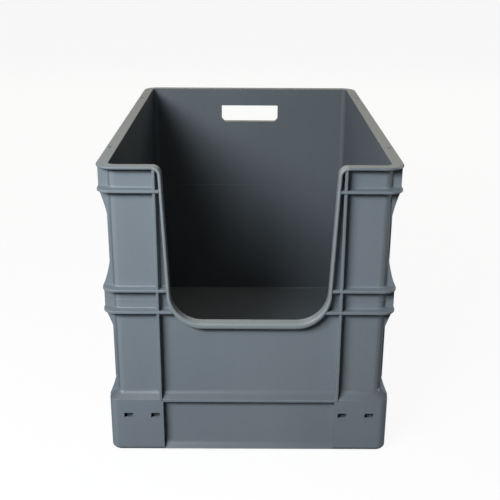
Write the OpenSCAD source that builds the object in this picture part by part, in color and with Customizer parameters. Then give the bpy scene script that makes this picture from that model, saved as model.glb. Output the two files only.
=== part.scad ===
// Open-fronted stacking container, moulded in two halves that are welded at mid height.
// Millimetres, +Z up. The origin is the centre of the footprint on the ground.
// The short side with the pick opening faces -Y, and the long sides face -X and +X.
// An inset is the distance inwards from the vertical planes of the footprint.

/* [Container] */
// Length along Y
body_l = 600; // [400:10:800]
// Width along X
body_w = 400; // [300:10:600]
// Height over the rim
body_h = 424; // [400:4:500]
// Thickness of the moulded walls
wall_t = 3; // [2:0.5:4]
// Inset of the walls' outer faces
wall_inset = 13; // [11:1:16]
// Outer radius of the wall's corners in plan
corner_r = 12; // [8:1:16]

/* [Ribs and rim] */
// Thickness of the rim flange
rim_t = 3.5; // [3:0.5:5]
// Radius of the rim's corners in plan
rim_r = 25; // [12:1:28]
// Thickness of every rib plate
rib_t = 4; // [2:0.5:5]
// Radius of the horizontal ribs' corners in plan
rib_r = 18; // [12:1:24]
// Inset of the upper rib's free edge
rib1_inset = 0.5; // [0.5:0.5:3]
// Inset of the free edges of the two ribs beside the weld
rib_inset = 1; // [0.5:0.5:3]
// Inset of the vertical ribs' and flares' free edges
post_inset = 2; // [1:0.5:4]
// Height of the underside of the upper rib
rib1_z = 389; // [374:1:400]
// Height of the underside of the rib above the weld
rib2_z = 250; // [244:1:258]
// Height of the underside of the rib below the weld
rib3_z = 218.5; // [214:0.5:225]
// Width of the vertical ribs on the short sides
post_t = 4; // [3:0.5:6]
// Height of the corner flares on the upper moulding
long_flare_h = 44; // [30:1:48]
// Height of the corner flares on the lower moulding
short_flare_h = 30; // [20:1:40]

/* [Base] */
// Depth of the stacking foot below the base band
foot_h = 4; // [3:1:6]
// Inset of the stacking foot, which drops inside the rim below it
foot_inset = 18; // [17.5:0.5:22]
// Height of the floor's upper face
floor_z = 11; // [10:1:14]
// Height of the top of the base band
band_top = 85.5; // [76:0.5:95]
// Inset of the base band's outer faces
band_inset = 3; // [2:0.5:5]
// Length of each corner block along its side
block_l = 79; // [60:1:95]
// Radius under the corner blocks
block_r = 8; // [5:1:9]

/* [Openings] */
// Height of the sill of the pick opening
sill_z = 205; // [198:1:212]
// Half width of the pick opening where its lower corners end
opening_hw = 107; // [90:1:110]
// Radius of the opening's lower corners
opening_r = 43; // [30:1:50]
// Angle that each side of the opening leans out
opening_lean = 2.4; // [0:0.1:2.6]
// Thickness of the strip welded round the opening
strip_t = 4.5; // [3:0.5:6]
// Extra thickness of the strip along the sill, as a share of the rest
sill_share = 0.9; // [0:0.05:1]
// Half width of the hand hole
hand_hw = 54; // [45:1:60]
// Height of the hand hole's lower edge
hand_z = 361; // [350:1:364]
// Height of the hand hole
hand_h = 31.5; // [28:0.5:32]

/* [Hidden] */
eps = 0.01;
$fn = 64;
body_grey = [0.47, 0.50, 0.53];
edge_grey = [0.50, 0.53, 0.55];
half_w = body_w / 2;
half_l = body_l / 2;
inner_inset = wall_inset + wall_t;
weld_z = (rib2_z + rib3_z + rib_t) / 2 - 2;
rim_z = body_h - rim_t;
post_depth = wall_inset - post_inset;
// Slope where the walls widen into the base band, and again at the very bottom
slope_h = 9;
cove_top = 13.5;
cove_out = 9.5;
// Vertical ribs: on the short sides they stand over the inner ends of the corner blocks
post_x = half_w - block_l + post_t / 2 + 1;
long_posts = [for (i = [-2:2]) i * (half_l - block_l + post_t / 2 + 1) / 2];
flare_y = half_l - 22;
// Radii of the flares' hollow edges: the short ones are nearly straight
long_flare_r = 200;
short_flare_r = 400;
// Drain and gripper slots in the corner blocks, by distance from the corner
slot_w = 12.5;
slot_h = 7.5;
slot_z = 60.5;
slot_from_corner = [29.5, 67.5];
// Lid slots in the rim
rim_slot = [5, 8];
rim_slot_at = [half_w - 6, half_l - 110];
// Strip round the opening: it turns over at the top to meet the rim
turn_r = 12;
strip_front = 0.5;
sill_corner = [opening_hw - opening_r, sill_z + opening_r];
turn_along = (body_h - turn_r - sill_corner[1] + (opening_r + turn_r) * sin(opening_lean))
    / cos(opening_lean);
turn_corner = sill_corner + (opening_r + turn_r) * [cos(opening_lean), -sin(opening_lean)]
    + turn_along * [sin(opening_lean), cos(opening_lean)];
collar_t = 3;
grid_pitch_x = 70;
grid_pitch_y = 80;

// Rounded rectangle in plan, at an inset from the footprint
module plan(inset, r) {
    w = half_w - inset;
    l = half_l - inset;
    square([2 * w, 2 * (l - r)], center = true);
    square([2 * (w - r), 2 * l], center = true);
    for (x = [-1, 1], y = [-1, 1]) translate([x * (w - r), y * (l - r)]) circle(r);
}

// Upright slab between two heights
module slab(inset, r, z0, z1) {
    translate([0, 0, z0]) linear_extrude(z1 - z0) plan(inset, r);
}

// Ring between two insets and two heights, with the wall's inner corners
module ring(inset, r, z0, z1) {
    difference() {
        slab(inset, r, z0, z1);
        slab(inner_inset, corner_r - wall_t, z0 - eps, z1 + eps);
    }
}

// Sloping ring round all four sides: its outer faces run from one inset to another
module sloping_ring(inset0, z0, inset1, z1) {
    difference() {
        intersection() {
            sloping_bar(half_w, body_l, inset0, z0, inset1, z1);
            rotate(90) sloping_bar(half_l, body_w, inset0, z0, inset1, z1);
            slab(band_inset, corner_r, z0, z1);
        }
        slab(inner_inset, corner_r - wall_t, z0 - 1, z1 + 1);
    }
}

module sloping_bar(half, along, inset0, z0, inset1, z1) {
    rotate([90, 0, 0]) linear_extrude(along, center = true)
        polygon([[inset0 - half, z0], [half - inset0, z0], [half - inset1, z1], [inset1 - half, z1]]);
}

// The wall, cut at the weld into a lower and an upper half
module wall(z0, z1) {
    ring(wall_inset, corner_r, z0, z1);
}

// Vertical ribs of both short sides and both long sides
module posts(z0, z1) {
    for (turn = [0, 180]) rotate(turn) {
        for (x = [-post_x, post_x]) translate([x, wall_inset - half_l, 0]) post(z0, z1);
        for (y = long_posts) translate([half_w - wall_inset, y, 0]) rotate(90) post(z0, z1);
    }
}

// One vertical rib, standing out from a wall towards -Y
module post(z0, z1) {
    translate([-post_t / 2, -post_depth, z0]) cube([post_t, post_depth + eps, z1 - z0]);
}

// Plate with a hollow free edge of radius r that widens from the wall's face up to a rib
module flare(z, up, height, r) {
    chord = sqrt(pow(height, 2) + pow(post_depth, 2));
    away = sqrt(pow(r, 2) - pow(chord / 2, 2)) / chord;
    translate([0, 0, z]) mirror([0, 0, up ? 0 : 1]) rotate([90, 0, 0])
        linear_extrude(rib_t, center = true) difference() {
            translate([-eps, 0]) square([post_depth + eps, height]);
            translate([post_depth / 2 + height * away, height / 2 + post_depth * away])
                circle(r, $fn = 720);
        }
}

// Repeats its children at the four places on the long sides beside the corners
module at_corner_flares() {
    for (x = [0, 1], y = [-1, 1]) mirror([x, 0, 0])
        translate([half_w - wall_inset, y * flare_y, 0]) children();
}

// Straight part of a corner flare between two plates
module flare_web(z0, z1) {
    translate([-eps, -rib_t / 2, z0]) cube([post_depth + eps, rib_t, z1 - z0]);
}

// Outline of the pick opening in X and Z, grown by g, and by more than that along the sill
function opening_side(g) = concat(
    [for (a = [-90:10:-10])
        sill_corner + (opening_r + g * (1 + sill_share * pow(sin(a), 2))) * [cos(a), sin(a)]],
    [sill_corner + (opening_r + g) * [cos(opening_lean), -sin(opening_lean)]],
    [for (a = [-opening_lean, -20, -35, -50, -65, -80, -90])
        turn_corner - (turn_r - g) * [cos(a), sin(a)]],
    [[turn_corner[0], body_h + 10]]);

module opening_outline(g) {
    right = opening_side(g);
    left = [for (i = [len(right) - 1:-1:0]) [-right[i][0], right[i][1]]];
    polygon(concat(right, left));
}

// Pick opening through the front short side
module opening_cut(g) {
    translate([0, -half_l - 1, 0]) rotate([90, 0, 0]) mirror([0, 0, 1])
        linear_extrude(inner_inset + 1.5) opening_outline(g);
}

// Hollow corner blocks of the base band, with rounded lower edges
module corner_blocks() {
    intersection() {
        difference() {
            slab(band_inset, corner_r, foot_h, band_top);
            slab(wall_inset - eps, corner_r, foot_h - 1, band_top + 1);
            difference() {
                slab(band_inset + wall_t, corner_r - wall_t, foot_h + wall_t, band_top - rib_t);
                block_ends();
            }
        }
        for_blocks();
        under_radius(body_w, body_l);
        rotate(90) under_radius(body_l, body_w);
    }
}

// Closing walls at the inner ends of the blocks
module block_ends() {
    for (x = [-1, 1]) translate([x * (half_w - block_l + wall_t / 2), 0, foot_h])
        translate([-wall_t / 2, -half_l, 0]) cube([wall_t, body_l, band_top]);
    for (y = [-1, 1]) translate([0, y * (half_l - block_l + wall_t / 2), foot_h])
        translate([-half_w, -wall_t / 2, 0]) cube([body_w, wall_t, band_top]);
}

// Space of the four corner blocks
module for_blocks() {
    for (x = [-1, 1], y = [-1, 1])
        translate([x * (half_w - block_l / 2), y * (half_l - block_l / 2), band_top / 2])
            cube([block_l, block_l, band_top + 2], center = true);
}

// Long bar whose lower edges are rounded, to round off the blocks underneath
module under_radius(across, along) {
    w = across / 2 - band_inset;
    rotate([90, 0, 0]) linear_extrude(along, center = true) {
        translate([-w, foot_h + block_r]) square([2 * w, band_top]);
        translate([-w + block_r, foot_h]) square([2 * (w - block_r), band_top]);
        for (x = [-1, 1]) translate([x * (w - block_r), foot_h + block_r]) circle(block_r);
    }
}

// Slots through the outer faces of the corner blocks
module block_slots() {
    for (x = [-1, 1], y = [-1, 1], d = slot_from_corner) {
        translate([x * (half_w - d), y * (half_l - band_inset - 2), slot_z])
            cube([slot_w, wall_t + 6, slot_h], center = true);
        translate([x * (half_w - band_inset - 2), y * (half_l - d), slot_z])
            cube([wall_t + 6, slot_w, slot_h], center = true);
    }
}

// Ribs under the floor and the foot ring that locates the container in the rim below
module foot() {
    difference() {
        slab(foot_inset, corner_r - 3, 0, floor_z - wall_t + eps);
        slab(foot_inset + wall_t, corner_r - 6, -1, floor_z);
    }
    for (x = [-2:2]) translate([x * grid_pitch_x - rib_t / 2, -half_l + foot_inset + 1, 1])
        cube([rib_t, body_l - 2 * foot_inset - 2, floor_z - wall_t - 1 + eps]);
    for (y = [-3:3]) translate([-half_w + foot_inset + 1, y * grid_pitch_y - rib_t / 2, 1])
        cube([body_w - 2 * foot_inset - 2, rib_t, floor_z - wall_t - 1 + eps]);
}

// Lower moulding: floor, foot, base band and the walls up to the weld
module lower_tub() {
    color(body_grey) difference() {
        union() {
            wall(floor_z - wall_t, weld_z);
            slab(wall_inset, corner_r, floor_z - wall_t, floor_z);
            foot();
            ring(rib_inset, rib_r, rib3_z, rib3_z + rib_t);
            ring(band_inset, corner_r, band_top - rib_t, band_top);
            sloping_ring(band_inset + 1, band_top - eps, wall_inset + eps, band_top + slope_h);
            sloping_ring(wall_inset - cove_out, foot_h, wall_inset + eps, cove_top);
            corner_blocks();
            posts(band_top - eps, weld_z);
            at_corner_flares() {
                flare(band_top - eps, true, short_flare_h, short_flare_r);
                flare(rib3_z + eps, false, short_flare_h, short_flare_r);
                flare_web(rib3_z, weld_z);
            }
        }
        block_slots();
        opening_cut(strip_t);
    }
}

// Upper moulding: the walls from the weld up, the rim and the hand hole
module upper_frame() {
    color(body_grey) difference() {
        union() {
            wall(weld_z, rim_z + eps);
            ring(0, rim_r, rim_z, body_h);
            ring(rib1_inset, rib_r, rib1_z, rib1_z + rib_t);
            ring(rib_inset, rib_r, rib2_z, rib2_z + rib_t);
            posts(weld_z, rim_z + eps);
            at_corner_flares() {
                flare(rib1_z + eps, false, long_flare_h, long_flare_r);
                flare(rib2_z + rib_t - eps, true, long_flare_h, long_flare_r);
                flare_web(rib1_z, rim_z + eps);
                flare_web(weld_z, rib2_z + eps);
            }
            hand_collar();
        }
        hand_hole();
        opening_cut(strip_t);
        for (x = [-1, 1], y = [-1, 1]) translate([x * rim_slot_at[0], y * rim_slot_at[1], body_h])
            cube([rim_slot[0], rim_slot[1], 4 * rim_t], center = true);
    }
}

// Collar that stiffens the edge of the hand hole on the outside
module hand_collar() {
    translate([-hand_hw - collar_t, half_l - wall_inset - eps, hand_z - collar_t])
        cube([2 * (hand_hw + collar_t), post_depth, hand_h + 2 * collar_t]);
}

// Hand hole through the back short side, with cut lower corners
module hand_hole() {
    cut = 5;
    translate([0, half_l + 1, hand_z]) rotate([90, 0, 0]) linear_extrude(inner_inset + 2)
        polygon([[-hand_hw + cut, 0], [hand_hw - cut, 0], [hand_hw, cut], [hand_hw, hand_h],
            [-hand_hw, hand_h], [-hand_hw, cut]]);
}

// U-shaped strip welded round the pick opening
module opening_edge() {
    color(edge_grey) translate([0, -half_l + strip_front, 0]) rotate([90, 0, 0]) mirror([0, 0, 1])
        linear_extrude(inner_inset - strip_front) intersection() {
            difference() {
                opening_outline(strip_t);
                opening_outline(0);
            }
            translate([-half_w, 0]) square([body_w, body_h]);
        }
}

lower_tub();
upper_frame();
opening_edge();
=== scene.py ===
"""Open-fronted stacking container: the two mouldings, the strip round the pick opening and the welds.

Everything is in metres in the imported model's frame: +Z up, the pick opening towards -Y, the origin
under the middle of the foot. An inset is a distance inwards from the vertical sides of the footprint.
"""
import logging
import math
from collections.abc import Callable
from dataclasses import dataclass, field
from enum import Enum
from itertools import product

import bmesh
import bpy
from mathutils import Matrix, Vector


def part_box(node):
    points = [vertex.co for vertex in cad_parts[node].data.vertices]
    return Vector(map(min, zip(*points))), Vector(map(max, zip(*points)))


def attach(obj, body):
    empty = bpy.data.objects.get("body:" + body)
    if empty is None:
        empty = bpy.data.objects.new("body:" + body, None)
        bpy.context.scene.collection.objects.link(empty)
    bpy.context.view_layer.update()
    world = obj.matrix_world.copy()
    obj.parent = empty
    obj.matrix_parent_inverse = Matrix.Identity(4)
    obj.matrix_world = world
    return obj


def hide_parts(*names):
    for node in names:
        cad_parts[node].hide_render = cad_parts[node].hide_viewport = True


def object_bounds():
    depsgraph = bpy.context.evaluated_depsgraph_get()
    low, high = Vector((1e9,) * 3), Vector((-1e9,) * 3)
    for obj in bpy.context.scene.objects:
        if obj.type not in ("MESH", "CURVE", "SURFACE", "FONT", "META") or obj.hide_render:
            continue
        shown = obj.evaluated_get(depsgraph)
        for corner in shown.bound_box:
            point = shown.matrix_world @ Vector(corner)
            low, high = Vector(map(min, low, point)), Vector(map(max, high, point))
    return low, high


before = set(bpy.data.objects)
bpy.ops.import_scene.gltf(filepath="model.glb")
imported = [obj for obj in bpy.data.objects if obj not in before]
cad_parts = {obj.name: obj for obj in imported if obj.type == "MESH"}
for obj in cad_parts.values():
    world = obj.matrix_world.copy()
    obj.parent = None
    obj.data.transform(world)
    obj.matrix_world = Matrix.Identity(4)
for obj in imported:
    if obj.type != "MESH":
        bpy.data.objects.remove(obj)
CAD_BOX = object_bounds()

log = logging.getLogger("container")

Point2 = tuple[float, float]
Point3 = tuple[float, float, float]
Corner = tuple[float, float, float]
Tint = tuple[float, float, float]

MM = 0.001
BODY = "root"
SIDES = (-1.0, 1.0)
CORNERS = tuple((sx, sy) for sx in SIDES for sy in SIDES)
# Straight steps in a fillet's arc and in a corner of the plan
ARC_STEPS = 4
CORNER_STEPS = 10
# Edges sharper than these are bevelled or kept as creases
BEVEL_FROM = math.radians(35)
CREASE_FROM = math.radians(32)
# Painted-shade attribute: the tilts where a slope gets full painted shade and where it counts as level, and
# the floor's top
PAINTED_SHADE = "painted_shade_share"
FULLY_SHADED = 0.45
LEVEL = 0.93
ABOVE_FLOOR = 12 * MM


class Way(Enum):
    """Direction in which a boolean step changes a solid."""

    ADD = "UNION"
    CUT = "DIFFERENCE"


# ---------------------------------------------------------------- mesh helpers


def filleted(corners: list[Corner], closed: bool) -> list[Point2]:
    """Turns a polyline with a radius at each corner into a smooth one.

    Args:
        corners: Points as (a, b, radius). A radius of 0 keeps the corner sharp.
        closed: True if the last point joins the first.

    Returns:
        The points in order, with each rounded corner as a short arc.
    """
    out: list[Point2] = []
    count = len(corners)
    for i, (a, b, radius) in enumerate(corners):
        here = Vector((a, b))
        if radius <= 0 or (not closed and i in (0, count - 1)):
            out.append((a, b))
            continue
        before = Vector(corners[i - 1][:2]) - here
        after = Vector(corners[(i + 1) % count][:2]) - here
        room = 0.49 * min(before.length, after.length)
        before.normalize()
        after.normalize()
        half = before.angle(after) / 2
        reach = min(radius / math.tan(half), room)
        radius = reach * math.tan(half)
        centre = here + (before + after).normalized() * (radius / math.sin(half))
        start = here + before * reach - centre
        turn = (here + after * reach - centre).angle_signed(start)
        for step in range(ARC_STEPS + 1):
            arm = start.copy()
            arm.rotate(Matrix.Rotation(turn * step / ARC_STEPS, 2))
            out.append(tuple(centre + arm))
    return out


def make_object(name: str, mesh: bpy.types.Mesh) -> bpy.types.Object:
    """Puts a mesh into the scene as an object at the origin."""
    piece = bpy.data.objects.new(name, mesh)
    bpy.context.collection.objects.link(piece)
    return piece


def skinned(name: str, rings: list[list[Point3]], closed: bool = False) -> bpy.types.Object:
    """Skins rings of points into a closed solid.

    Args:
        name: Name of the new object.
        rings: Rings with the same number of points.
        closed: True if the last ring joins the first. Otherwise flat faces close off both ends.

    Returns:
        The solid, with its faces outwards.
    """
    bm = bmesh.new()
    loops = [[bm.verts.new(point) for point in ring] for ring in rings]
    for lower, upper in zip(loops, loops[1:] + (loops[:1] if closed else [])):
        for i, vertex in enumerate(lower):
            j = (i + 1) % len(lower)
            bm.faces.new((vertex, lower[j], upper[j], upper[i]))
    if not closed:
        bm.faces.new(loops[0])
        bm.faces.new(loops[-1])
    bmesh.ops.remove_doubles(bm, verts=bm.verts, dist=0.01 * MM)
    bmesh.ops.recalc_face_normals(bm, faces=bm.faces)
    mesh = bpy.data.meshes.new(name)
    bm.to_mesh(mesh)
    bm.free()
    return make_object(name, mesh)


def prism(name: str, outline: list[Point2], low: float, high: float, axis: str = "Z") -> bpy.types.Object:
    """Extrudes a closed outline along an axis.

    Args:
        name: Name of the new object.
        outline: Points of the outline, as (x, y) along Z, (x, z) along Y or (y, z) along X.
        low: Where the prism starts on the axis.
        high: Where it ends.
        axis: "X", "Y" or "Z".

    Returns:
        The closed prism.
    """
    place = {
        "X": lambda p, h: (h, p[0], p[1]),
        "Y": lambda p, h: (p[0], h, p[1]),
        "Z": lambda p, h: (p[0], p[1], h),
    }[axis]
    return skinned(name, [[place(p, h) for p in outline] for h in (low, high)])


def baked(piece: bpy.types.Object, name: str) -> bpy.types.Object:
    """Replaces an object by its evaluated mesh, without modifiers."""
    graph = bpy.context.evaluated_depsgraph_get()
    mesh = bpy.data.meshes.new_from_object(piece.evaluated_get(graph), depsgraph=graph)
    mesh.name = name
    old = piece.data
    bpy.data.objects.remove(piece)
    if isinstance(old, bpy.types.Mesh):
        bpy.data.meshes.remove(old)
    return make_object(name, mesh)


def combine(body: bpy.types.Object, tools: list[bpy.types.Object], way: Way) -> bpy.types.Object:
    """Adds tools to a solid or cuts them out of it, and removes the tools.

    Args:
        body: The solid to change.
        tools: Closed solids.
        way: Whether they are added or cut out.

    Returns:
        The new solid, under the old name.
    """
    for tool in tools:
        step = body.modifiers.new(tool.name, "BOOLEAN")
        step.solver = "MANIFOLD"
        step.operation = way.value
        step.object = tool
    name = body.name
    body.name = name + "_raw"
    result = baked(body, name)
    for tool in tools:
        mesh = tool.data
        bpy.data.objects.remove(tool)
        bpy.data.meshes.remove(mesh)
    return result


def soften(piece: bpy.types.Object, width: float, wanted: Callable[[Vector], bool],
           segments: int = 3) -> None:
    """Bevels the sharp edges that a test picks.

    Args:
        piece: The solid.
        width: Width of the bevel.
        wanted: Test on the middle of an edge.
        segments: Number of strips across the bevel.
    """
    bm = bmesh.new()
    bm.from_mesh(piece.data)
    picked = [
        e for e in bm.edges
        if e.is_manifold and e.calc_face_angle(0) > BEVEL_FROM
        and wanted((e.verts[0].co + e.verts[1].co) / 2)
    ]
    bmesh.ops.bevel(bm, geom=picked, offset=width, segments=segments, profile=0.5, affect="EDGES",
                    clamp_overlap=True)
    bm.to_mesh(piece.data)
    bm.free()


def mark_painted_shade(piece: bpy.types.Object, below: float, inside: tuple[float, float]) -> None:
    """Writes the attribute that paints shade into the colour: high on the inside walls, where shade falls, and
    on low slopes that face up and out.

    Args:
        piece: One moulding or weld.
        below: Height under which a slope counts.
        inside: Half sizes in X and Y that hold the inside walls but not the outside ones.
    """
    mesh = piece.data
    facing = [Vector((0.0, 0.0, 0.0)) for _ in mesh.vertices]
    for polygon in mesh.polygons:
        for index in polygon.vertices:
            facing[index] += polygon.normal * polygon.area
    slopes = []
    for vertex, normal in zip(mesh.vertices, facing):
        up = normal.normalized().z if vertex.co.z < below else 0.0
        slopes.append(min(max(up / FULLY_SHADED, 0.0), 1.0) if up < LEVEL else 0.0)
    # Painted shade: full on the inside walls, and on low up-facing slopes in step with their tilt
    shade_amount = mesh.attributes.new(PAINTED_SHADE, "FLOAT", "CORNER")
    for polygon in mesh.polygons:
        middle = polygon.center
        within = abs(middle.x) < inside[0] and abs(middle.y) < inside[1] and middle.z > ABOVE_FLOOR
        least = 1.0 if within else 0.0
        for corner, index in zip(polygon.loop_indices, polygon.vertices):
            shade_amount.data[corner].value = max(slopes[index], least)


def finish_mesh(piece: bpy.types.Object, material: bpy.types.Material) -> bpy.types.Object:
    """Shades a finished solid with crisp creases and gives it its material."""
    mesh = piece.data
    mesh.shade_smooth()
    mesh.set_sharp_from_angle(angle=CREASE_FROM)
    weight = piece.modifiers.new("weighted", "WEIGHTED_NORMAL")
    weight.keep_sharp = True
    weight.weight = 100
    piece = baked(piece, piece.name)
    piece.data.materials.clear()
    piece.data.materials.append(material)
    for polygon in piece.data.polygons:
        polygon.material_index = 0
    return piece


# ---------------------------------------------------------------- nodes


def add_node(tree: bpy.types.NodeTree, kind: str, wires: dict[str | int, object] | None = None,
             **settings: object) -> bpy.types.Node:
    """Adds a node to a tree.

    Args:
        tree: Tree of a geometry step, a material or the world.
        kind: Type of the node.
        wires: What goes into each input: an output socket or a plain value.
        settings: Properties of the node.

    Returns:
        The node.
    """
    node = tree.nodes.new(kind)
    for label, value in settings.items():
        setattr(node, label, value)
    for label, value in (wires or {}).items():
        if isinstance(value, bpy.types.NodeSocket):
            tree.links.new(value, node.inputs[label])
        else:
            node.inputs[label].default_value = value
    return node


class ShapeTree:
    """A geometry node tree with named inputs, baked into plain meshes."""

    def __init__(self, name: str, inputs: dict[str, str]) -> None:
        """Starts a tree.

        Args:
            name: Name of the tree.
            inputs: Each input's name and socket type, besides the geometry.
        """
        self.tree = bpy.data.node_groups.new(name, "GeometryNodeTree")
        face = self.tree.interface
        face.new_socket("Geometry", in_out="INPUT", socket_type="NodeSocketGeometry")
        self.sockets = {
            label: face.new_socket(label, in_out="INPUT", socket_type=kind).identifier
            for label, kind in inputs.items()
        }
        face.new_socket("Geometry", in_out="OUTPUT", socket_type="NodeSocketGeometry")
        self.start = self.tree.nodes.new("NodeGroupInput")
        self.end = self.tree.nodes.new("NodeGroupOutput")

    def add(self, kind: str, wires: dict[str | int, object] | None = None,
            **settings: object) -> bpy.types.Node:
        """Adds a node, as add_node does."""
        return add_node(self.tree, kind, wires, **settings)

    def finish(self, geometry: bpy.types.NodeSocket) -> None:
        """Ends the tree with Realize Instances and Set Material."""
        real = self.add("GeometryNodeRealizeInstances", {"Geometry": geometry})
        dressed = self.add("GeometryNodeSetMaterial", {
            "Geometry": real.outputs["Geometry"], "Material": self.start.outputs["Material"]})
        self.tree.links.new(dressed.outputs["Geometry"], self.end.inputs["Geometry"])

    def run(self, piece: bpy.types.Object, values: dict[str, object]) -> bpy.types.Object:
        """Runs the tree on an object and returns the plain mesh that it makes."""
        step = piece.modifiers.new(self.tree.name, "NODES")
        step.node_group = self.tree
        for label, value in values.items():
            step[self.sockets[label]] = value
        return baked(piece, piece.name)


def rib_row_tree() -> ShapeTree:
    """Tree that repeats one rib at even distances along a line."""
    row = ShapeTree("rib_row", {
        "First": "NodeSocketVector", "Pitch": "NodeSocketVector", "Count": "NodeSocketInt",
        "Material": "NodeSocketMaterial"})
    given = row.start.outputs
    line = row.add("GeometryNodeMeshLine", {
        "Count": given["Count"], "Start Location": given["First"], "Offset": given["Pitch"]})
    ribs = row.add("GeometryNodeInstanceOnPoints", {
        "Points": line.outputs["Mesh"], "Instance": given["Geometry"]})
    row.finish(ribs.outputs["Instances"])
    return row


def bead_tree() -> ShapeTree:
    """Tree that lays an uneven bead of squeezed-out plastic along a line of edges."""
    bead = ShapeTree("weld_bead", {
        "Radius": "NodeSocketFloat", "Unevenness": "NodeSocketFloat", "Step": "NodeSocketFloat",
        "Seed": "NodeSocketFloat", "Material": "NodeSocketMaterial"})
    given = bead.start.outputs
    line = bead.add("GeometryNodeMeshToCurve", {"Mesh": given["Geometry"]})
    even = bead.add("GeometryNodeResampleCurve", {
        "Curve": line.outputs["Curve"], "Length": given["Step"]}, mode="LENGTH")
    place = bead.add("GeometryNodeInputPosition")
    swell = bead.add("ShaderNodeTexNoise", {
        "Vector": place.outputs["Position"], "W": given["Seed"], "Scale": 70.0, "Detail": 2.0},
        noise_dimensions="4D")
    centred = bead.add("ShaderNodeMath", {0: swell.outputs[0], 1: 0.5}, operation="SUBTRACT")
    scaled = bead.add("ShaderNodeMath", {0: centred.outputs[0], 1: given["Unevenness"]}, operation="MULTIPLY")
    radius = bead.add("ShaderNodeMath", {0: scaled.outputs[0], 1: given["Radius"]}, operation="ADD")
    section = bead.add("GeometryNodeCurvePrimitiveCircle", {"Resolution": 8, "Radius": 1.0})
    tube = bead.add("GeometryNodeCurveToMesh", {
        "Curve": even.outputs["Curve"], "Profile Curve": section.outputs["Curve"],
        "Scale": radius.outputs[0], "Fill Caps": True})
    smooth = bead.add("GeometryNodeSetShadeSmooth", {"Geometry": tube.outputs["Mesh"]})
    bead.finish(smooth.outputs["Geometry"])
    return bead


# ---------------------------------------------------------------- finishes


@dataclass(frozen=True)
class MouldedPlastic:
    """Polypropylene with a fine moulded grain, faint flow marks and light handling scuffs.

    The colours are linear. Lengths are in metres.
    """

    name: str
    colour: Tint
    pale: Tint
    roughness: float = 0.44
    grain: float = 0.0005
    grain_height: float = 0.00003
    cloud: float = 0.16
    ripple_height: float = 0.00035
    # Share by which the base colour is darkened where shade is painted
    painted_shade_share: float = 0.36

    def material(self) -> bpy.types.Material:
        """Builds the material."""
        made = bpy.data.materials.new(self.name)
        made.use_nodes = True
        tree = made.node_tree
        shader = tree.nodes["Principled BSDF"]
        shader.inputs["IOR"].default_value = 1.49
        place = add_node(tree, "ShaderNodeTexCoord").outputs["Object"]
        clouds = self.noise(tree, place, 1 / self.cloud, 3.0, (1.0, 1.0, 0.55))
        streaks = self.noise(tree, place, 60.0, 4.0, (1.0, 1.0, 0.06))
        speck = self.noise(tree, place, 420.0, 2.0)
        tint = self.mixed(tree, self.mixed(tree, clouds, streaks, 0.35), speck, 0.25)
        ramp = add_node(tree, "ShaderNodeValToRGB", {"Fac": tint})
        for element, position, colour in zip(ramp.color_ramp.elements, (0.32, 0.68), (self.colour, self.pale)):
            element.position = position
            element.color = (*colour, 1.0)
        # The base colour is darkened by painted shade wherever the shade attribute is high
        tree.links.new(self.with_painted_shade(tree, ramp.outputs["Color"]), shader.inputs["Base Color"])
        rough = add_node(tree, "ShaderNodeMapRange", {
            "Value": self.mixed(tree, clouds, speck, 0.5), "From Min": 0.3, "From Max": 0.7,
            "To Min": self.roughness - 0.05, "To Max": self.roughness + 0.07})
        tree.links.new(rough.outputs["Result"], shader.inputs["Roughness"])
        ripple = self.noise(tree, place, 16.0, 1.0, (1.0, 1.0, 0.5))
        grain = self.noise(tree, place, 1 / self.grain, 2.0)
        wavy = self.bump(tree, {"Height": ripple, "Distance": self.ripple_height})
        grained = self.bump(tree, {"Height": grain, "Distance": self.grain_height, "Normal": wavy})
        tree.links.new(grained, shader.inputs["Normal"])
        return made

    def with_painted_shade(self, tree: bpy.types.NodeTree, colour: bpy.types.NodeSocket) -> bpy.types.NodeSocket:
        """Darkens a colour with painted shade where the mesh's shade attribute is high and returns the result.
        """
        shade_amount = add_node(tree, "ShaderNodeAttribute", attribute_name=PAINTED_SHADE)
        keep = add_node(tree, "ShaderNodeMapRange", {
            "Value": shade_amount.outputs["Fac"], "To Min": 1.0, "To Max": 1.0 - self.painted_shade_share})
        scale = add_node(tree, "ShaderNodeVectorMath", operation="SCALE")
        tree.links.new(colour, scale.inputs[0])
        tree.links.new(keep.outputs["Result"], scale.inputs["Scale"])
        return scale.outputs["Vector"]

    @staticmethod
    def noise(tree: bpy.types.NodeTree, place: bpy.types.NodeSocket, scale: float, detail: float,
              stretch: Point3 = (1.0, 1.0, 1.0)) -> bpy.types.NodeSocket:
        """Adds a noise texture, stretched along the axes, and returns its value."""
        mapping = add_node(tree, "ShaderNodeMapping", {"Vector": place, "Scale": stretch})
        texture = add_node(tree, "ShaderNodeTexNoise", {
            "Vector": mapping.outputs["Vector"], "Scale": scale, "Detail": detail})
        return texture.outputs[0]

    @staticmethod
    def mixed(tree: bpy.types.NodeTree, first: bpy.types.NodeSocket, second: bpy.types.NodeSocket,
              share: float) -> bpy.types.NodeSocket:
        """Blends two values and returns the result."""
        mix = add_node(tree, "ShaderNodeMix", {"Factor": share, "A": first, "B": second})
        return mix.outputs["Result"]

    @staticmethod
    def bump(tree: bpy.types.NodeTree, wires: dict[str | int, object]) -> bpy.types.NodeSocket:
        """Adds a bump of full strength and returns the normal."""
        return add_node(tree, "ShaderNodeBump", {"Strength": 1.0, **wires}).outputs["Normal"]


MOULDING = MouldedPlastic("moulding_grey", (0.178, 0.203, 0.232), (0.205, 0.231, 0.26))
STRIP = MouldedPlastic("strip_grey", (0.238, 0.262, 0.28), (0.262, 0.286, 0.303),
                       roughness=0.4, grain=0.0008, grain_height=0.000015)


# ---------------------------------------------------------------- the container's plan


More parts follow.
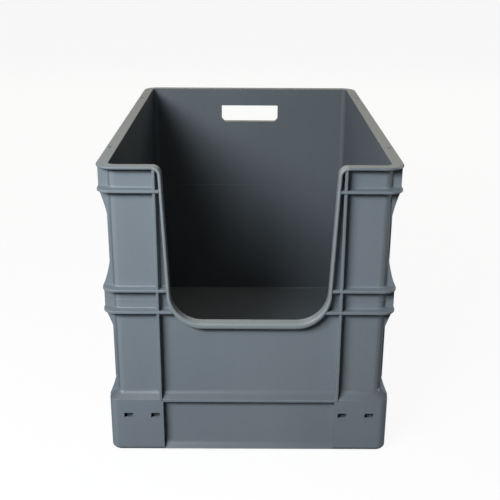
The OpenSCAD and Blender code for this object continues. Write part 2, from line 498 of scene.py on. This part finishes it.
@dataclass
class Footprint:
    """The rounded rectangle that every level of the container follows."""

    half_x: float
    half_y: float
    wall_inset: float = 13 * MM
    wall: float = 3 * MM
    corner: float = 12 * MM
    smallest: float = 3 * MM
    rim_from: float = 400 * MM
    ribs_from: float = 150 * MM

    @property
    def inner(self) -> float:
        """Inset of the walls' inner faces."""
        return self.wall_inset + self.wall

    @property
    def inside_walls(self) -> tuple[float, float]:
        """Half sizes in X and Y that hold the walls' inner faces but not their outer ones."""
        clear = self.inner - 0.5 * MM
        return self.half_x - clear, self.half_y - clear

    def radius(self, inset: float, z: float = 0.0) -> float:
        """Corner radius in plan at an inset: the rim spreads out fully, the ribs by less, the base not."""
        out = self.wall_inset - inset
        if out < 0:
            return max(self.corner + out, self.smallest)
        return self.corner + out * (1.0 if z > self.rim_from else 0.5 if z > self.ribs_from else 0.0)

    def outline(self, inset: float, z: float = 0.0) -> list[Point2]:
        """Points round the rectangle at an inset and height, anticlockwise from the +X side."""
        r = self.radius(inset, z)
        cx, cy = self.half_x - inset - r, self.half_y - inset - r
        points: list[Point2] = []
        for quarter, (sx, sy) in enumerate(((1, 1), (-1, 1), (-1, -1), (1, -1))):
            for step in range(CORNER_STEPS + 1):
                turn = math.radians(90 * (quarter + step / CORNER_STEPS))
                points.append((sx * cx + r * math.cos(turn), sy * cy + r * math.sin(turn)))
        return points

    def sweep(self, name: str, profile: list[Point2], closed: bool) -> bpy.types.Object:
        """Carries a profile of (inset, z) points right round the plan.

        Args:
            name: Name of the new object.
            profile: Points of the profile.
            closed: True for a ring. Otherwise its first and last points are closed off by flat faces.

        Returns:
            The closed solid.
        """
        rings = [[(x, y, z) for x, y in self.outline(inset, z)] for inset, z in profile]
        return skinned(name, rings, closed)


@dataclass
class Rib:
    """Upright rib outside a wall, rounded at its free edge and filleted at its root."""

    thick: float
    reach: float
    tip: float = 1.0 * MM
    root: float = 2.0 * MM
    bury: float = 1.0 * MM

    def section(self) -> list[Point2]:
        """Outline of the rib as (along the wall, out of the wall)."""
        t = self.thick / 2
        wide = t + self.root
        corners = [(-wide, -self.bury, 0), (wide, -self.bury, 0), (wide, 0, 0), (t, 0, self.root),
                   (t, self.reach, self.tip), (-t, self.reach, self.tip), (-t, 0, self.root), (-wide, 0, 0)]
        return filleted(corners, closed=True)

    def upright(self, name: str, turn: float, low: float, high: float) -> bpy.types.Object:
        """Makes the rib as a prism at the origin, standing out along -Y and turned about Z.

        Args:
            name: Name of the new object.
            turn: Angle about Z in degrees.
            low: Height of its lower end.
            high: Height of its upper end.

        Returns:
            The closed solid.
        """
        turned = Matrix.Rotation(math.radians(turn), 2)
        outline = [tuple(turned @ Vector((x, -y))) for x, y in self.section()]
        return prism(name, outline, low, high)


@dataclass
class Flare:
    """Thin plate behind each corner whose hollow free edge widens up to a horizontal rib."""

    thick: float = 4 * MM
    reach: float = 11 * MM
    bury: float = 1 * MM
    edge_round: float = 0.7 * MM
    steps: int = 10

    def edge(self, start: float, height: float, hollow: float) -> list[Point2]:
        """Free edge as (out, z), from the rib at a height to where it meets the wall.

        Args:
            start: Height of the rib's face.
            height: Height of the edge, negative below the rib.
            hollow: Radius of the edge.

        Returns:
            The points of the edge.
        """
        wide, narrow = Vector((self.reach, 0.0)), Vector((0.0, abs(height)))
        chord = narrow - wide
        away = math.sqrt(hollow ** 2 - (chord.length / 2) ** 2) / chord.length
        centre = (wide + narrow) / 2 + Vector((chord.y, -chord.x)) * away
        points = []
        for step in range(self.steps + 1):
            spoke = wide.lerp(narrow, step / self.steps) - centre
            place = centre + spoke.normalized() * hollow
            points.append((place.x, start + math.copysign(place.y, height)))
        return points

    def plates(self, outline: list[Point2], plan: Footprint, y: float) -> list[bpy.types.Object]:
        """Makes one plate at each of the four places beside the corners from its (out, z) outline."""
        face = plan.half_x - plan.wall_inset
        made = []
        for sx, sy in CORNERS:
            shape = [(sx * (face + out), z) for out, z in outline]
            middle = sy * y
            plate = prism("flare", shape, middle - self.thick / 2, middle + self.thick / 2, axis="Y")
            soften(plate, self.edge_round, lambda p: abs(p.x) > face + 0.3 * MM, segments=2)
            made.append(plate)
        return made


# ---------------------------------------------------------------- the pick opening


@dataclass
class PickOpening:
    """U-shaped opening in the front wall. A grown outline is a larger U round the same shape."""

    top: float
    sill: float = 205 * MM
    half_width: float = 107 * MM
    sill_share: float = 0.9
    corner: float = 43 * MM
    lean: float = math.radians(2.4)
    turn_over: float = 12 * MM
    corner_steps: int = 14
    turn_steps: int = 8

    def side(self, grow: float) -> list[Point2]:
        """Right half of the U as (x, z), from the end of the flat sill up to the rim."""
        low = Vector((self.half_width - self.corner, self.sill + self.corner))
        out = Vector((math.cos(self.lean), -math.sin(self.lean)))
        along = Vector((math.sin(self.lean), math.cos(self.lean)))
        reach = (self.corner + self.turn_over) * out
        climb = (self.top - self.turn_over - low.y - reach.y) / along.y
        high = low + reach + climb * along
        points = []
        for step in range(self.corner_steps + 1):
            turn = self.between(step / self.corner_steps)
            thick = grow * (1 + self.sill_share * math.sin(turn) ** 2)
            points.append(tuple(low + (self.corner + thick) * self.facing(turn)))
        for step in range(self.turn_steps + 1):
            turn = self.between(1 - step / self.turn_steps)
            points.append(tuple(high - (self.turn_over - grow) * self.facing(turn)))
        return points

    def between(self, share: float) -> float:
        """Angle between straight down and square to the leaning side."""
        down = -math.pi / 2
        return down + (-self.lean - down) * share

    @staticmethod
    def facing(turn: float) -> Vector:
        """Unit vector at an angle."""
        return Vector((math.cos(turn), math.sin(turn)))

    def path(self, grow: float) -> list[Point2]:
        """Whole U as (x, z), from the top left over the sill to the top right."""
        right = self.side(grow)
        return [(-x, z) for x, z in reversed(right)] + right

    def cutter(self, grow: float, front: float, back: float) -> bpy.types.Object:
        """Makes the solid that cuts the U out of the front wall."""
        above = self.top + 20 * MM
        path = self.path(grow)
        outline = path + [(path[-1][0], above), (path[0][0], above)]
        return prism("opening_cutter", outline, front, back, axis="Y")


@dataclass
class OpeningEdge:
    """Strip welded round the pick opening. It turns over at the top to meet the rim."""

    opening: PickOpening
    front: float
    back: float
    thick: float = 4.5 * MM
    front_round: float = 2.0 * MM
    back_round: float = 1.0 * MM

    def build(self, finish: bpy.types.Material) -> bpy.types.Object:
        """Carries the strip's rounded section along the U.

        Args:
            finish: Material of the strip.

        Returns:
            The finished strip.
        """
        corners = [(0, self.front, self.front_round), (self.thick, self.front, self.front_round),
                   (self.thick, self.back, self.back_round), (0, self.back, self.back_round)]
        section = filleted(corners, closed=True)
        paths = [self.opening.path(grow) for grow, _ in section]
        rings = [[(x, y, z) for (x, z), (_, y) in zip(ring, section)] for ring in zip(*paths)]
        return finish_mesh(skinned("opening_edge_strip", rings), finish)


# ---------------------------------------------------------------- the two mouldings


@dataclass
class Levels:
    """Heights that both mouldings share."""

    weld: float
    top: float
    rim: float = 3.5 * MM
    rib: float = 4 * MM
    rib1: float = 389 * MM
    rib2: float = 250 * MM
    rib3: float = 218.5 * MM
    band_top: float = 85.5 * MM
    foot: float = 4 * MM
    floor: float = 11 * MM
    floor_under: float = 8 * MM


@dataclass
class Moulding:
    """What both mouldings have: the plan, the levels, upright ribs and corner flares."""

    plan: Footprint
    levels: Levels
    rib_inset: float = 1 * MM
    rib1_inset: float = 0.5 * MM
    post_inset: float = 2 * MM
    rib_tip: float = 1.0 * MM
    rib_root: float = 2.0 * MM
    sink: float = 0.35 * MM
    post: Rib = field(default_factory=lambda: Rib(4 * MM, 11 * MM))
    post_x: float = 124 * MM
    bay: float = 112 * MM
    bays: int = 4
    flare: Flare = field(default_factory=Flare)
    flare_from_end: float = 22 * MM
    long_flare: Point2 = (44 * MM, 200 * MM)
    short_flare: Point2 = (30 * MM, 400 * MM)

    def rib_profile(self, low: float, inset: float) -> list[Corner]:
        """Corners of one horizontal rib, from its upper root round its edge to its lower root."""
        high = low + self.levels.rib
        return [(self.plan.wall_inset, high, self.rib_root), (inset, high, self.rib_tip),
                (inset, low, self.rib_tip), (self.plan.wall_inset, low, self.rib_root)]

    def sink_line(self, low: float) -> list[Corner]:
        """Corners of the faint line that a rib's root leaves on the inside of the wall."""
        inner, middle = self.plan.inner, low + self.levels.rib / 2
        return [(inner, middle - 2 * MM, 0), (inner + self.sink, middle, 0), (inner, middle + 2 * MM, 0)]

    def posts(self, low: float, high: float, row: ShapeTree) -> list[bpy.types.Object]:
        """Makes the upright ribs on all four sides between two heights."""
        face_x = self.plan.half_x - self.plan.wall_inset
        face_y = self.plan.half_y - self.plan.wall_inset
        made = []
        for side in SIDES:
            turn = 0 if side < 0 else 180
            short = self.post.upright("short_side_posts", turn, low, high)
            made.append(row.run(short, {
                "First": (-self.post_x, side * face_y, 0), "Pitch": (2 * self.post_x, 0, 0), "Count": 2}))
            long = self.post.upright("long_side_posts", 90 * side, low, high)
            made.append(row.run(long, {
                "First": (side * face_x, -self.bay * self.bays / 2, 0), "Pitch": (0, self.bay, 0),
                "Count": self.bays + 1}))
        return made

    def flares(self, outline: list[Point2]) -> list[bpy.types.Object]:
        """Makes the four corner plates with one (out, z) outline."""
        return self.flare.plates(outline, self.plan, self.plan.half_y - self.flare_from_end)

    def plate_between(self, low: float, high: float) -> list[Point2]:
        """Outline of a corner plate of full depth between two heights."""
        return [(-self.flare.bury, low), (self.flare.reach, low), (self.flare.reach, high),
                (-self.flare.bury, high)]

    def hollow_plate(self, rib: float, height: float, hollow: float) -> list[Point2]:
        """Outline of a corner plate that runs out into the wall above or below a rib."""
        edge = self.flare.edge(rib, height, hollow)
        overlap = rib - math.copysign(0.5 * MM, height)
        return [(-self.flare.bury, overlap), (self.flare.reach, overlap), *edge,
                (-self.flare.bury, edge[-1][1])]


@dataclass
class CornerBlocks:
    """Hollow corner blocks of the base band, with slots in their outer faces."""

    plan: Footprint
    levels: Levels
    length: float = 79 * MM
    inset: float = 3 * MM
    wall: float = 3 * MM
    under: float = 8 * MM
    edge: float = 1.0 * MM
    slot: Point2 = (12.5 * MM, 7.5 * MM)
    slot_round: float = 1.2 * MM
    slot_height: float = 60.5 * MM
    slot_from_corner: Point2 = (29.5 * MM, 67.5 * MM)

    def corner_path(self, inset: float) -> list[Point2]:
        """Path round the +X +Y corner at an inset, from the end of one leg to the end of the other."""
        r = self.plan.radius(inset)
        cx, cy = self.plan.half_x - inset - r, self.plan.half_y - inset - r
        end_x, end_y = self.plan.half_x - self.length, self.plan.half_y - self.length
        bend = [math.radians(90 * step / CORNER_STEPS) for step in range(CORNER_STEPS + 1)]
        return [(cx + r, end_y), *[(cx + r * math.cos(a), cy + r * math.sin(a)) for a in bend],
                (end_x, cy + r)]

    def shell(self, sx: float, sy: float) -> bpy.types.Object:
        """Makes one block as a C-shaped section carried round its corner, open to the wall."""
        low, high = self.levels.foot, self.levels.band_top
        wall_face = self.plan.wall_inset + 1 * MM
        t = self.wall
        corners = [
            (wall_face, high, 0), (self.inset, high, self.edge), (self.inset, low, self.under),
            (wall_face, low, 0), (wall_face, low + t, 0), (self.inset + t, low + t, self.under - t),
            (self.inset + t, high - t, self.edge), (wall_face, high - t, 0)]
        section = filleted(corners, closed=True)
        paths = [self.corner_path(inset) for inset, _ in section]
        rings = [[(sx * x, sy * y, z) for (x, y), (_, z) in zip(ring, section)] for ring in zip(*paths)]
        return skinned("block_shell", rings)

    def ends(self, sx: float, sy: float) -> list[bpy.types.Object]:
        """Makes the walls that close a block's two inner ends, rounded like its lower edge."""
        low, high = self.levels.foot, self.levels.band_top
        made = []
        for axis, half, run, turn in (("X", self.plan.half_y, sx * self.plan.half_x, sy),
                                      ("Y", self.plan.half_x, sy * self.plan.half_y, sx)):
            outer = half - self.inset
            inner = half - self.plan.wall_inset - 1 * MM
            corners = [(inner, low, 0), (outer, low, self.under), (outer, high, self.edge), (inner, high, 0)]
            outline = [(turn * a, z) for a, z in filleted(corners, closed=True)]
            side = math.copysign(1, run)
            ends = sorted((run - side * self.length, run - side * (self.length - self.wall)))
            made.append(prism("block_end", outline, *ends, axis=axis))
        return made

    def slot_cutters(self) -> list[bpy.types.Object]:
        """Makes the cutters for the slots of all four blocks."""
        made = []
        wide, high = self.slot
        box = [(a * wide / 2, b * high / 2, self.slot_round) for a, b in ((-1, -1), (1, -1), (1, 1), (-1, 1))]
        shape = filleted(box, closed=True)
        for (sx, sy), away in product(CORNERS, self.slot_from_corner):
            for axis, half, across in (("Y", self.plan.half_y * sy, (self.plan.half_x - away) * sx),
                                       ("X", self.plan.half_x * sx, (self.plan.half_y - away) * sy)):
                side = math.copysign(1, half)
                span = sorted((half + side * 2 * MM, half - side * (self.inset + self.wall + 2 * MM)))
                outline = [(across + a, self.slot_height + b) for a, b in shape]
                made.append(prism("slot_cutter", outline, *span, axis=axis))
        return made


@dataclass
class LowerTub(Moulding):
    """Lower moulding: floor, stacking foot, base band and the walls up to the weld."""

    band_inset: float = 3 * MM
    slope_top: float = 9 * MM
    slope_bend: float = 12 * MM
    band_root: float = 7 * MM
    cove_out: float = 9.5 * MM
    cove_top: float = 13.5 * MM
    cove_bend: float = 18 * MM
    foot_inset: float = 18 * MM
    floor_round: float = 5 * MM
    middle: float = 60 * MM
    grid: Point2 = (70 * MM, 80 * MM)
    grid_low: float = 1 * MM

    def profile(self) -> list[Point2]:
        """Section of the floor and wall, from the floor over the weld and down to the underside."""
        at, plan = self.levels, self.plan
        face = plan.wall_inset
        foot = self.foot_inset
        corners = [
            (self.middle, at.floor, 0), (plan.inner, at.floor, self.floor_round),
            *self.sink_line(at.rib3), (plan.inner, at.weld, 0),
            (face, at.weld, 0), *self.rib_profile(at.rib3, self.rib_inset),
            (face, at.band_top + self.slope_top, self.slope_bend),
            (self.band_inset, at.band_top, self.rib_tip),
            (self.band_inset, at.band_top - at.rib, self.rib_tip),
            (face, at.band_top - at.rib, self.band_root),
            (face, self.cove_top, self.cove_bend),
            (face - self.cove_out, at.foot, self.rib_tip),
            (plan.inner, at.foot, self.rib_tip), (plan.inner, at.floor_under, self.rib_tip),
            (foot, at.floor_under, self.rib_tip), (foot, 0, self.rib_tip),
            (foot + plan.wall, 0, self.rib_tip), (foot + plan.wall, at.floor_under, self.rib_tip),
            (self.middle, at.floor_under, 0)]
        return filleted(corners, closed=False)

    def grid_ribs(self, row: ShapeTree) -> list[bpy.types.Object]:
        """Makes the crossing ribs under the floor."""
        at, plan = self.levels, self.plan
        t = at.rib / 2
        low, high = self.grid_low, at.floor_under + 0.5 * MM
        across = plan.half_x - self.foot_inset - 1 * MM
        along = plan.half_y - self.foot_inset - 1 * MM
        corners = [(-t, high, 0), (-t, low, 0.8 * MM), (t, low, 0.8 * MM), (t, high, 0)]
        shape = filleted(corners, closed=True)
        length = prism("grid_along", shape, -along, along, axis="Y")
        width = prism("grid_across", shape, -across, across, axis="X")
        pitch_x, pitch_y = self.grid
        return [
            row.run(length, {"First": (-2 * pitch_x, 0, 0), "Pitch": (pitch_x, 0, 0), "Count": 5}),
            row.run(width, {"First": (0, -3 * pitch_y, 0), "Pitch": (0, pitch_y, 0), "Count": 7}),
        ]

    def build(self, row: ShapeTree, opening: bpy.types.Object, finish: bpy.types.Material) -> bpy.types.Object:
        """Builds the moulding.

        Args:
            row: Tree that repeats ribs.
            opening: Cutter of the pick opening.
            finish: Material of the moulding.

        Returns:
            The finished moulding.
        """
        at = self.levels
        tub = self.plan.sweep("lower_tub_moulding", self.profile(), closed=False)
        blocks = CornerBlocks(self.plan, at)
        added = [*self.posts(at.band_top - 0.5 * MM, at.weld, row), *self.grid_ribs(row)]
        added += self.flares(self.hollow_plate(at.band_top, *self.short_flare))
        added += self.flares(self.hollow_plate(at.rib3, -self.short_flare[0], self.short_flare[1]))
        added += self.flares(self.plate_between(at.rib3 + 1 * MM, at.weld))
        for sx, sy in CORNERS:
            added += [blocks.shell(sx, sy), *blocks.ends(sx, sy)]
        tub = combine(tub, added, Way.ADD)
        tub = combine(tub, [*blocks.slot_cutters(), opening], Way.CUT)
        tub = finish_mesh(tub, finish)
        # Painted shade on the inside walls and on the low slopes of the base
        mark_painted_shade(tub, at.band_top + self.slope_top + 6 * MM, self.plan.inside_walls)
        return tub


@dataclass
class UpperFrame(Moulding):
    """Upper moulding: the walls from the weld up, the rim and the hand hole."""

    rim_edge: float = 1.1 * MM
    hand_half: float = 54 * MM
    hand_low: float = 361 * MM
    hand_height: float = 31.5 * MM
    hand_cut: float = 5 * MM
    hand_top_round: float = 1.5 * MM
    collar: float = 3 * MM
    hole_edge: float = 1.0 * MM
    lid_slot: Point2 = (5 * MM, 8 * MM)
    lid_slot_round: float = 0.8 * MM
    lid_slot_at: Point2 = (194 * MM, 190 * MM)

    def profile(self) -> list[Point2]:
        """Section of the wall, its ribs and its rim, as a closed outline."""
        at, plan = self.levels, self.plan
        face, under = plan.wall_inset, at.top - at.rim
        corners = [
            (plan.inner, at.weld, 0), *self.sink_line(at.rib2), (plan.inner, at.top, self.rim_edge),
            (0, at.top, self.rim_edge), (0, under, self.rim_edge), (face, under, self.rib_root),
            *self.rib_profile(at.rib1, self.rib1_inset), *self.rib_profile(at.rib2, self.rib_inset),
            (face, at.weld, 0)]
        return filleted(corners, closed=True)

    def hand_outline(self, grow: float) -> list[Point2]:
        """Outline of the hand hole as (x, z), with its lower corners cut."""
        half, low = self.hand_half + grow, self.hand_low - grow
        high, cut = self.hand_low + self.hand_height + grow, self.hand_cut
        small = self.hand_top_round
        corners = [(-half + cut, low, 2 * small), (half - cut, low, 2 * small), (half, low + cut, 2 * small),
                   (half, high, small), (-half, high, small), (-half, low + cut, 2 * small)]
        return filleted(corners, closed=True)

    def lid_slots(self) -> list[bpy.types.Object]:
        """Makes the cutters of the small slots in the rim."""
        wide, long = self.lid_slot
        made = []
        for sx, sy in CORNERS:
            x, y = sx * self.lid_slot_at[0], sy * self.lid_slot_at[1]
            box = [(x + a * wide / 2, y + b * long / 2, self.lid_slot_round)
                   for a, b in ((-1, -1), (1, -1), (1, 1), (-1, 1))]
            made.append(prism("lid_slot_cutter", filleted(box, closed=True),
                              self.levels.top - 8 * MM, self.levels.top + 8 * MM))
        return made

    def build(self, row: ShapeTree, opening: bpy.types.Object, finish: bpy.types.Material) -> bpy.types.Object:
        """Builds the moulding.

        Args:
            row: Tree that repeats ribs.
            opening: Cutter of the pick opening.
            finish: Material of the moulding.

        Returns:
            The finished moulding.
        """
        at, plan = self.levels, self.plan
        back = plan.half_y
        shell = plan.sweep("upper_frame_moulding", self.profile(), closed=True)
        added = self.posts(at.weld, at.top - at.rim + 0.5 * MM, row)
        added += self.flares(self.hollow_plate(at.rib1, -self.long_flare[0], self.long_flare[1]))
        added += self.flares(self.hollow_plate(at.rib2 + at.rib, *self.long_flare))
        added += self.flares(self.plate_between(at.rib1 + 1 * MM, at.top - 1 * MM))
        added += self.flares(self.plate_between(at.weld, at.rib2 + 1 * MM))
        collar = prism("hand_collar", self.hand_outline(self.collar), back - plan.wall_inset - 1 * MM,
                       back - self.post_inset, axis="Y")
        soften(collar, self.rib_tip, lambda p: p.y > back - self.post_inset - 0.2 * MM)
        shell = combine(shell, [*added, collar], Way.ADD)
        hole = prism("hand_cutter", self.hand_outline(0), back - plan.inner - 5 * MM, back + 5 * MM, axis="Y")
        shell = combine(shell, [hole, *self.lid_slots(), opening], Way.CUT)
        self.round_hand_hole(shell)
        shell = finish_mesh(shell, finish)
        # Painted shade on the inside walls
        mark_painted_shade(shell, 0.0, plan.inside_walls)
        return shell

    def round_hand_hole(self, shell: bpy.types.Object) -> None:
        """Rounds the edge of the hand hole inside and outside."""
        low, high = self.hand_low - 1 * MM, self.hand_low + self.hand_height + 1 * MM
        inside = self.plan.half_y - self.plan.inner
        outside = self.plan.half_y - self.post_inset

        def on_hole(p: Vector) -> bool:
            level = abs(p.y - inside) < 0.1 * MM or abs(p.y - outside) < 0.1 * MM
            return level and low < p.z < high and abs(p.x) < self.hand_half + 1 * MM

        soften(shell, self.hole_edge, on_hole)


# ---------------------------------------------------------------- the welds


@dataclass
class Welds:
    """Thin uneven beads squeezed out where the mouldings and the strip are welded."""

    plan: Footprint
    levels: Levels
    opening: PickOpening
    strip: float
    radius: float = 0.75 * MM
    unevenness: float = 0.9 * MM
    step: float = 3 * MM
    sunk: float = 0.3 * MM

    @staticmethod
    def wire(name: str, points: list[Point3]) -> bpy.types.Object:
        """Makes an open chain of edges."""
        mesh = bpy.data.meshes.new(name)
        mesh.from_pydata(points, [(i, i + 1) for i in range(len(points) - 1)], [])
        return make_object(name, mesh)

    def seam(self, name: str, inset: float) -> bpy.types.Object:
        """Makes the line of the mid-height weld on one face of the walls, open at the pick opening."""
        ring = self.plan.outline(inset)
        y = -self.plan.half_y + inset
        stop = self.opening_half(self.levels.weld) + self.strip
        split = next(i for i, (a, b) in enumerate(zip(ring, ring[1:])) if a[0] < 0 < b[0] and a[1] < 0)
        chain = [(stop, y)] + ring[split + 1:] + ring[:split + 1] + [(-stop, y)]
        return self.wire(name, [(*point, self.levels.weld) for point in chain])

    def opening_half(self, z: float) -> float:
        """Half width of the pick opening at a height."""
        side = self.opening.side(0)
        return next(a[0] + (b[0] - a[0]) * (z - a[1]) / (b[1] - a[1])
                    for a, b in zip(side, side[1:]) if a[1] <= z < b[1])

    def build(self, bead: ShapeTree, finish: bpy.types.Material) -> list[bpy.types.Object]:
        """Makes the mid-height beads, outside and inside, and the beads along the strip.

        Args:
            bead: Tree that lays a bead along edges.
            finish: Material of the beads.

        Returns:
            The beads.
        """
        plan = self.plan
        lines = [
            (self.seam("weld_bead_outside", plan.wall_inset + self.sunk), 1.0),
            (self.seam("weld_bead_inside", plan.inner - self.sunk), 2.0),
        ]
        path = self.opening.path(self.strip + self.sunk)[1:-1]
        for name, inset, seed in (("strip_weld_front", plan.wall_inset + self.sunk, 3.0),
                                  ("strip_weld_back", plan.inner - self.sunk, 4.0)):
            points = [(x, -plan.half_y + inset, z) for x, z in path if z < self.levels.top - 6 * MM]
            lines.append((self.wire(name, points), seed))
        return [
            bead.run(line, {"Radius": self.radius, "Unevenness": self.unevenness, "Step": self.step,
                            "Seed": seed, "Material": finish})
            for line, seed in lines
        ]


# ---------------------------------------------------------------- the studio


@dataclass(frozen=True)
class Softbox:
    """Soft light aimed at the container. Its strength is what reaches the container, whatever its distance."""

    name: str
    round_from_front: float
    height: float
    strength: Tint
    size: Point2 = (0.9, 0.9)
    away: float = 3.0
    aim: Point3 = (0.0, -0.1, 0.22)
    power: float = 11.0

    def build(self) -> None:
        """Adds the light, at an angle in degrees round from the front and one above the level."""
        aside, climb = math.radians(self.round_from_front), math.radians(self.height)
        out = Vector((math.sin(aside) * math.cos(climb), -math.cos(aside) * math.cos(climb), math.sin(climb)))
        lamp = bpy.data.lights.new(self.name, "AREA")
        lamp.shape = "RECTANGLE"
        lamp.size, lamp.size_y = self.size
        strongest = max(self.strength)
        lamp.energy = self.power * strongest * self.away ** 2
        lamp.color = [channel / strongest for channel in self.strength]
        light = bpy.data.objects.new(self.name, lamp)
        place = Matrix.Translation(Vector(self.aim) + self.away * out)
        light.matrix_world = place @ (-out).to_track_quat("-Z", "Y").to_matrix().to_4x4()
        bpy.context.collection.objects.link(light)


LIGHTS = (
    Softbox("key_light", -34, 30, (0.95, 1.01, 1.03), (0.95, 0.40), 1.75),
    Softbox("fill_light", 25, 6, (0.02, 0.022, 0.022)),
    Softbox("top_light", 0, 89, (0.12, 0.108, 0.09), (2.5, 2.5), 2.5),
    Softbox("back_light", 180, 25, (0.22, 0.205, 0.165), (4.0, 1.4), 3.4),
    Softbox("right_side_light", 100, 0, (0.34, 0.35, 0.35), (1.4, 0.35)),
)


@dataclass
class Studio:
    """Pale floor in a dim room, with soft lights and the camera."""

    floor_glow: float = 0.93
    floor_tone: float = 0.07
    room: Tint = (0.02, 0.02, 0.02)
    lens: float = 61.62
    eye: Point3 = (-0.0025, -1.3556, 0.7034)
    down: float = 20.318
    aside: float = 0.159
    roll: float = 0.313

    def build(self) -> None:
        """Makes the whole studio."""
        self.floor()
        self.world()
        for light in LIGHTS:
            light.build()
        self.camera()

    def floor(self) -> None:
        """Makes the floor, which is seen as nearly white but throws little light back."""
        bm = bmesh.new()
        bmesh.ops.create_grid(bm, x_segments=2, y_segments=2, size=30.0)
        mesh = bpy.data.meshes.new("studio_floor")
        bm.to_mesh(mesh)
        bm.free()
        sheet = make_object("studio_floor", mesh)
        paint = bpy.data.materials.new("studio_floor")
        paint.use_nodes = True
        tree = paint.node_tree
        shader = tree.nodes["Principled BSDF"]
        shader.inputs["Base Color"].default_value = (self.floor_tone,) * 3 + (1.0,)
        shader.inputs["Roughness"].default_value = 0.9
        shader.inputs["Specular IOR Level"].default_value = 0.0
        shader.inputs["Emission Color"].default_value = (1.0, 1.0, 1.0, 1.0)
        seen = add_node(tree, "ShaderNodeLightPath").outputs["Is Camera Ray"]
        glow = add_node(tree, "ShaderNodeMath", {0: seen, 1: self.floor_glow}, operation="MULTIPLY")
        tree.links.new(glow.outputs["Value"], shader.inputs["Emission Strength"])
        mesh.materials.append(paint)

    def world(self) -> None:
        """Makes the dim room, seen as plain white."""
        scene = bpy.context.scene
        world = bpy.data.worlds.new("studio")
        world.use_nodes = True
        tree = world.node_tree
        room = tree.nodes["Background"]
        room.inputs["Color"].default_value = (*self.room, 1.0)
        white = add_node(tree, "ShaderNodeBackground", {"Color": (1.0, 1.0, 1.0, 1.0)})
        seen = add_node(tree, "ShaderNodeLightPath").outputs["Is Camera Ray"]
        blend = add_node(tree, "ShaderNodeMixShader", {
            "Fac": seen, 1: room.outputs["Background"], 2: white.outputs["Background"]})
        tree.links.new(blend.outputs["Shader"], tree.nodes["World Output"].inputs["Surface"])
        scene.world = world
        scene.view_settings.view_transform = "Standard"

    def camera(self) -> None:
        """Places the camera in front of the pick opening, looking slightly down into it."""
        lens = bpy.data.cameras.new("camera")
        lens.lens = self.lens
        eye = bpy.data.objects.new("camera", lens)
        down, aside, roll = (math.radians(a) for a in (self.down, self.aside, self.roll))
        ahead = Vector((math.sin(aside) * math.cos(down), math.cos(aside) * math.cos(down), -math.sin(down)))
        right = Vector((math.cos(aside), -math.sin(aside), 0.0))
        up = right.cross(ahead)
        side = right * math.cos(roll) + up * math.sin(roll)
        top = up * math.cos(roll) - right * math.sin(roll)
        turned = Matrix((side, top, -ahead)).transposed().to_4x4()
        eye.matrix_world = Matrix.Translation(self.eye) @ turned
        bpy.context.collection.objects.link(eye)
        bpy.context.scene.camera = eye


# ---------------------------------------------------------------- the whole container


def dress(piece: bpy.types.Object, slot: str, *nodes: str) -> None:
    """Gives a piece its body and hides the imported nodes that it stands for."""
    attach(piece, BODY)
    if nodes:
        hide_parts(*nodes)
    log.info("%s: %d faces", piece.name, len(piece.data.polygons))


def main() -> None:
    """Builds the container and the studio around it."""
    logging.basicConfig(level=logging.INFO, format="%(name)s %(message)s")
    top = CAD_BOX[1]
    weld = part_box("lower_tub")[1].z
    plan = Footprint(top.x, top.y)
    levels = Levels(weld=weld, top=top.z)
    opening = PickOpening(levels.top)
    strip_low, strip_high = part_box("opening_edge")
    strip = OpeningEdge(opening, strip_low.y, strip_high.y)
    grey, strip_grey = MOULDING.material(), STRIP.material()
    row, bead = rib_row_tree(), bead_tree()
    cut = (-plan.half_y - 5 * MM, -plan.half_y + plan.inner + 0.5 * MM)
    tub = LowerTub(plan, levels).build(row, opening.cutter(strip.thick, *cut), grey)
    dress(tub, "moulding_grey", "lower_tub")
    upper = UpperFrame(plan, levels).build(row, opening.cutter(strip.thick, *cut), grey)
    dress(upper, "moulding_grey", "upper_frame")
    dress(strip.build(strip_grey), "strip_grey", "opening_edge")
    for line in Welds(plan, levels, opening, strip.thick).build(bead, grey):
        # Painted shade on the beads inside the walls
        mark_painted_shade(line, 0.0, plan.inside_walls)
        dress(line, "moulding_grey")
    Studio().build()


if __name__ == "__main__":
    main()
